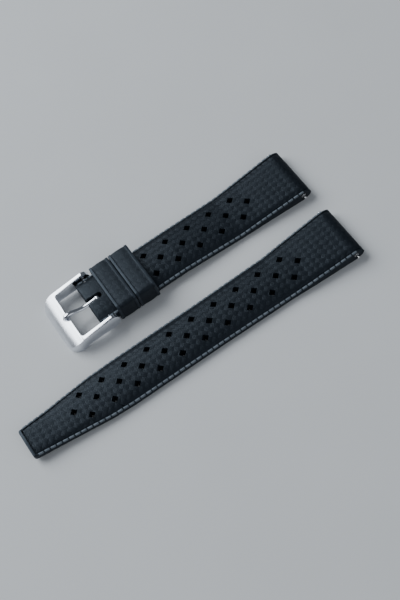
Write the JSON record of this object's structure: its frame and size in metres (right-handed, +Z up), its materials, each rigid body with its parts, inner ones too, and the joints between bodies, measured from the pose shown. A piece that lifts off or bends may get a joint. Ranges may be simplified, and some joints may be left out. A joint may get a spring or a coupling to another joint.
{
  "type": "rubber dive strap",
  "caption": "Two-piece rubber watch strap with woven pattern, diamond holes, tang buckle, two sliding keepers and quick-release lug bars.",
  "frame": {"origin": "centre of the two halves' bounding box, on the surface they lie on", "axes": "+X along the straps towards the lug ends, +Y across them towards the short half, +Z up through the patterned side"},
  "size_m": [0.1216, 0.0522, 0.0078],
  "materials": {
    "strap_rubber": "matt with a fine ribbed weave",
    "keeper_rubber": "satin",
    "buckle_steel": "satin face with polished edges",
    "bar_steel": "polished",
    "spring_steel": "drawn wire"
  },
  "bodies": {
    "short_half": {"short_strap": "strap_rubber", "short_bar_tube": "bar_steel", "short_bar_fixed_tip": "bar_steel", "short_bar_spring": "spring_steel", "buckle_bar_tube": "bar_steel", "buckle_bar_spring": "spring_steel"},
    "short_release": {"short_bar_sliding_tip": "bar_steel", "short_bar_lever": "bar_steel"},
    "buckle": {"buckle_frame": "buckle_steel"},
    "tongue": {"buckle_tongue": "buckle_steel"},
    "buckle_near_pin": {"buckle_bar_tip_near": "bar_steel"},
    "buckle_far_pin": {"buckle_bar_tip_far": "bar_steel"},
    "keeper_inner_loop": {"keeper_inner": "keeper_rubber"},
    "keeper_outer_loop": {"keeper_outer": "keeper_rubber"},
    "long_half": {"long_strap": "strap_rubber", "long_bar_tube": "bar_steel", "long_bar_fixed_tip": "bar_steel", "long_bar_spring": "spring_steel"},
    "long_release": {"long_bar_sliding_tip": "bar_steel", "long_bar_lever": "bar_steel"}
  },
  "joints": [
    {"name": "buckle_hinge", "type": "hinge", "parent": "short_half", "child": "buckle", "pos_m": [-0.0166, 0.0149, 0.0038], "axis": [0, 1, 0], "range_deg": [-70, 50]},
    {"name": "tongue_hinge", "type": "hinge", "parent": "buckle", "child": "tongue", "pos_m": [-0.0166, 0.0149, 0.0038], "axis": [0, 1, 0], "range_deg": [0, 50]},
    {"name": "keeper_inner_slide", "type": "slide", "parent": "short_half", "child": "keeper_inner_loop", "axis": [1, 0, 0], "range_m": [0, 0.006]},
    {"name": "keeper_outer_slide", "type": "slide", "parent": "keeper_inner_loop", "child": "keeper_outer_loop", "axis": [1, 0, 0], "range_m": [0, 0.006]},
    {"name": "buckle_near_pin_slide", "type": "slide", "parent": "short_half", "child": "buckle_near_pin", "axis": [0, 1, 0], "range_m": [0, 0.0008], "stiffness_N_per_m": 400, "springref_m": -0.001},
    {"name": "buckle_far_pin_slide", "type": "slide", "parent": "short_half", "child": "buckle_far_pin", "axis": [0, -1, 0], "range_m": [0, 0.0008], "stiffness_N_per_m": 400, "springref_m": -0.001, "deforming": ["buckle_bar_spring"]},
    {"name": "short_release_slide", "type": "slide", "parent": "short_half", "child": "short_release", "axis": [0, 1, 0], "range_m": [0, 0.0013], "stiffness_N_per_m": 400, "springref_m": -0.001, "deforming": ["short_bar_spring"]},
    {"name": "long_half_lift", "type": "slide", "parent": "short_half", "child": "long_half", "axis": [0, 0, 1], "range_m": [0, 0.03]},
    {"name": "long_release_slide", "type": "slide", "parent": "long_half", "child": "long_release", "axis": [0, 1, 0], "range_m": [0, 0.0013], "stiffness_N_per_m": 400, "springref_m": -0.001, "deforming": ["long_bar_spring"]}
  ]
}
